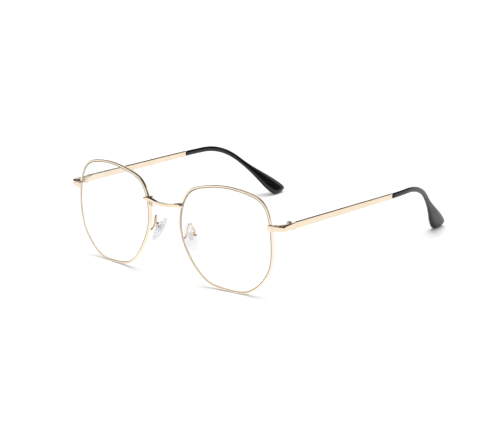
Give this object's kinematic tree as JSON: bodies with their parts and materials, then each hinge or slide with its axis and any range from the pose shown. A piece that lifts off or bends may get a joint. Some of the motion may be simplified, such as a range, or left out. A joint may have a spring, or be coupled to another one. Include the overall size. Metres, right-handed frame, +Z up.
{
  "type": "eyeglasses",
  "caption": "Thin metal wire eyeglasses with rounded geometric lenses, clear nose pads and black temple tips, for sight or as demo lenses.",
  "frame": {"origin": "centre of the box around the open glasses, at table height, under the point halfway between front and tips", "axes": "+X to the wearer's left across the front, +Y back along the temples, +Z up; the rim bottoms and temple tips rest on the table"},
  "size_m": [0.1376, 0.1642, 0.0526],
  "materials": {
    "gold_metal": "polished, pale champagne gold",
    "screw_metal": "satin",
    "lens_plastic": "clear",
    "pad_silicone": "clear, soft",
    "tip_plastic": "glossy black"
  },
  "bodies": {
    "front": {"bridge": "gold_metal", "rim_left": "gold_metal", "rim_right": "gold_metal", "lens_left": "lens_plastic", "lens_right": "lens_plastic", "endpiece_left": "gold_metal", "endpiece_right": "gold_metal", "closing_block_upper_left": "gold_metal", "closing_block_upper_right": "gold_metal", "closing_block_lower_left": "gold_metal", "closing_block_lower_right": "gold_metal", "rim_screw_left": "screw_metal", "rim_screw_right": "screw_metal", "hinge_front_left": "gold_metal", "hinge_front_right": "gold_metal", "hinge_screw_left": "screw_metal", "hinge_screw_right": "screw_metal", "pad_arm_left": "gold_metal", "pad_arm_right": "gold_metal", "pad_box_left": "gold_metal", "pad_box_right": "gold_metal", "pad_screw_left": "screw_metal", "pad_screw_right": "screw_metal"},
    "temple_left_side": {"hinge_rear_left": "gold_metal", "temple_left": "gold_metal", "temple_tip_left": "tip_plastic"},
    "temple_right_side": {"hinge_rear_right": "gold_metal", "temple_right": "gold_metal", "temple_tip_right": "tip_plastic"},
    "pad_left": {"pad_insert_left": "gold_metal", "nose_pad_left": "pad_silicone"},
    "pad_right": {"pad_insert_right": "gold_metal", "nose_pad_right": "pad_silicone"}
  },
  "joints": [
    {"name": "temple_left_fold", "type": "hinge", "parent": "front", "child": "temple_left_side", "pos_m": [0.0648, -0.06535, 0.03582], "axis": [0, 0, 1], "range_deg": [0, 88.5]},
    {"name": "temple_right_fold", "type": "hinge", "parent": "front", "child": "temple_right_side", "pos_m": [-0.0648, -0.06535, 0.03582], "axis": [0, 0, -1], "range_deg": [0, 80]},
    {"name": "pad_left_rock", "type": "hinge", "parent": "front", "child": "pad_left", "pos_m": [0.01166, -0.07174, 0.0229], "axis": [0.1045, 0.9891, -0.104], "range_deg": [-8, 8]},
    {"name": "pad_right_rock", "type": "hinge", "parent": "front", "child": "pad_right", "pos_m": [-0.01166, -0.07174, 0.0229], "axis": [-0.1045, 0.9891, -0.104], "range_deg": [-8, 8]}
  ]
}
